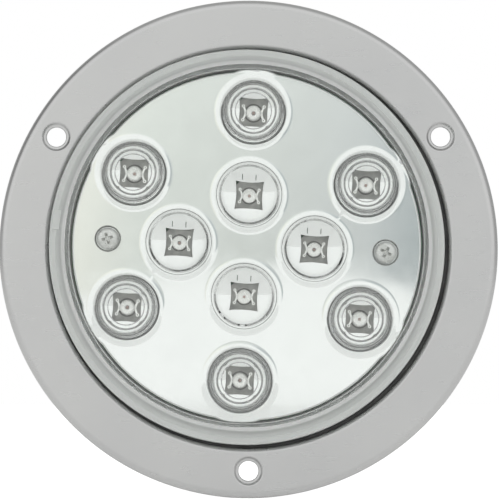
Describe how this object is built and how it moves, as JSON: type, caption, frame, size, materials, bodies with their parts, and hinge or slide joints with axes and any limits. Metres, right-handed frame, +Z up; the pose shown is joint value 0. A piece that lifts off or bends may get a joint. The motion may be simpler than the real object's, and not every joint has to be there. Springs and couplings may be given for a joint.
{
  "type": "trailer tail light",
  "caption": "Round clear-lens LED tail light with a mirror reflector, in a pressed stainless flange with dished screw holes and a plug socket at the back.",
  "frame": {"origin": "centre of the flange's back plane, where the lamp's axis meets the panel it is screwed to", "axes": "the lens faces -Y and the plug socket +Y, +Z is up as the lamp is mounted, +X is to the right as the lens is looked at"},
  "size_m": [0.1396, 0.0449, 0.1396],
  "materials": {
    "stainless": "pressed stainless sheet with a soft satin polish",
    "black_rubber": "matt moulded rubber",
    "zinc_plate": "bright zinc-plated steel",
    "clear_plastic": "clear moulded polycarbonate, polished",
    "sealant": "cured pale sealant",
    "grey_plastic": "fine-textured light grey moulding",
    "mirror_plating": "plastic with a vacuum-metallised mirror coat",
    "board_green": "glass-fibre board with green solder mask",
    "potting": "poured black epoxy",
    "led_epoxy": "water-clear epoxy over a silver lead frame",
    "resistor_black": "moulded black component body",
    "ceramic_blue": "blue lacquered ceramic disc",
    "can_aluminium": "drawn aluminium can",
    "brass": "turned brass contact"
  },
  "bodies": {
    "root": {"flange_ring": "stainless", "flange_gasket": "black_rubber", "retaining_ring": "zinc_plate", "lens": "clear_plastic", "lens_seal": "sealant", "housing": "grey_plastic", "reflector_plate": "mirror_plating", "circuit_board": "board_green", "potting_compound": "potting", "led_01": "led_epoxy", "led_02": "led_epoxy", "led_03": "led_epoxy", "led_04": "led_epoxy", "led_05": "led_epoxy", "led_06": "led_epoxy", "led_07": "led_epoxy", "led_08": "led_epoxy", "led_09": "led_epoxy", "led_10": "led_epoxy", "resistor_1": "resistor_black", "resistor_2": "resistor_black", "resistor_3": "resistor_black", "resistor_4": "resistor_black", "resistor_5": "resistor_black", "resistor_6": "resistor_black", "diode_tail": "resistor_black", "diode_stop": "resistor_black", "surge_suppressor": "ceramic_blue", "capacitor": "can_aluminium", "reflector_screw_left": "zinc_plate", "reflector_screw_right": "zinc_plate", "pin_tail": "brass", "pin_ground": "brass", "pin_stop": "brass"}
  },
  "joints": []
}
